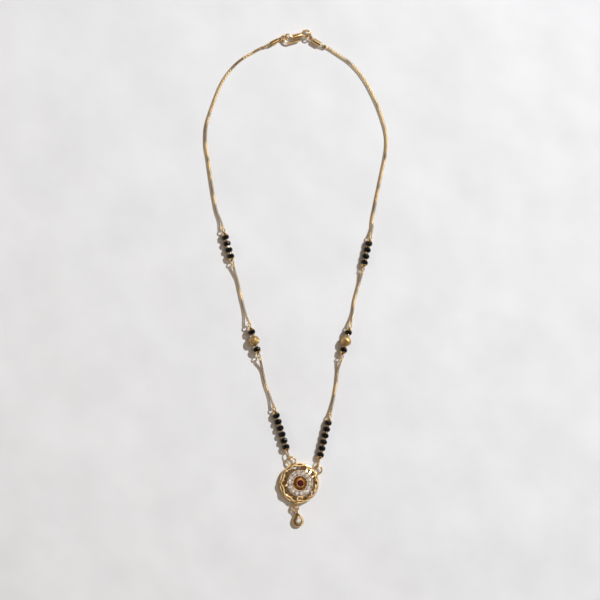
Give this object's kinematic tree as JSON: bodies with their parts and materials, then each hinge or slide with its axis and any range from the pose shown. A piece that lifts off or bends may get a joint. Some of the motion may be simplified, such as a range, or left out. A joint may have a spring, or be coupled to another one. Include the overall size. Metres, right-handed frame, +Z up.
{
  "type": "necklace",
  "caption": "Mangalsutra necklace: fine gold box chain with strings of black faceted beads, S-hook clasp, and round openwork pendant with a red centre stone and pear drop.",
  "frame": {"origin": "centre of the bounding box's bottom face, on the surface that the necklace lies on", "axes": "+Y from the pendant to the clasp, +Z up from the surface, +X to the right as seen from above"},
  "size_m": [0.0864, 0.2286, 0.0051],
  "materials": {
    "chain": "gold-plated box chain",
    "clasp": "polished gold plate",
    "fittings": "polished gold plate",
    "gold_bead": "engraved gold plate",
    "black_bead": "glossy black faceted glass",
    "pendant_gold": "polished gold plate",
    "drop_gold": "polished gold plate",
    "ruby": "cut dark red stone",
    "clear_stones": "cut clear stones",
    "drop_stone": "cut clear stone"
  },
  "bodies": {
    "root": {"clasp_hook": "clasp", "clasp_wrap": "clasp", "left_clasp_ring": "clasp", "right_clasp_ring": "clasp", "left_end_cap": "clasp", "right_end_cap": "clasp", "left_upper_chain": "chain", "left_middle_chain": "chain", "left_lower_chain": "chain", "right_upper_chain": "chain", "right_middle_chain": "chain", "right_lower_chain": "chain", "left_upper_bead_1": "black_bead", "left_upper_bead_2": "black_bead", "left_upper_bead_3": "black_bead", "left_upper_bead_4": "black_bead", "left_middle_bead_1": "black_bead", "left_middle_bead_2": "black_bead", "left_lower_bead_1": "black_bead", "left_lower_bead_2": "black_bead", "left_lower_bead_3": "black_bead", "left_lower_bead_4": "black_bead", "left_lower_bead_5": "black_bead", "left_lower_bead_6": "black_bead", "right_upper_bead_1": "black_bead", "right_upper_bead_2": "black_bead", "right_upper_bead_3": "black_bead", "right_upper_bead_4": "black_bead", "right_middle_bead_1": "black_bead", "right_middle_bead_2": "black_bead", "right_lower_bead_1": "black_bead", "right_lower_bead_2": "black_bead", "right_lower_bead_3": "black_bead", "right_lower_bead_4": "black_bead", "right_lower_bead_5": "black_bead", "right_lower_bead_6": "black_bead", "left_upper_spacers": "fittings", "left_middle_spacers": "fittings", "left_lower_spacers": "fittings", "right_upper_spacers": "fittings", "right_middle_spacers": "fittings", "right_lower_spacers": "fittings", "left_upper_wire": "fittings", "left_middle_wire": "fittings", "left_lower_wire": "fittings", "right_upper_wire": "fittings", "right_middle_wire": "fittings", "right_lower_wire": "fittings", "left_gold_bead": "gold_bead", "right_gold_bead": "gold_bead", "pendant_frame": "pendant_gold", "ruby": "ruby", "clear_stones": "clear_stones", "drop_ring": "drop_gold", "drop_setting": "drop_gold", "drop_stone": "drop_stone"}
  },
  "joints": []
}
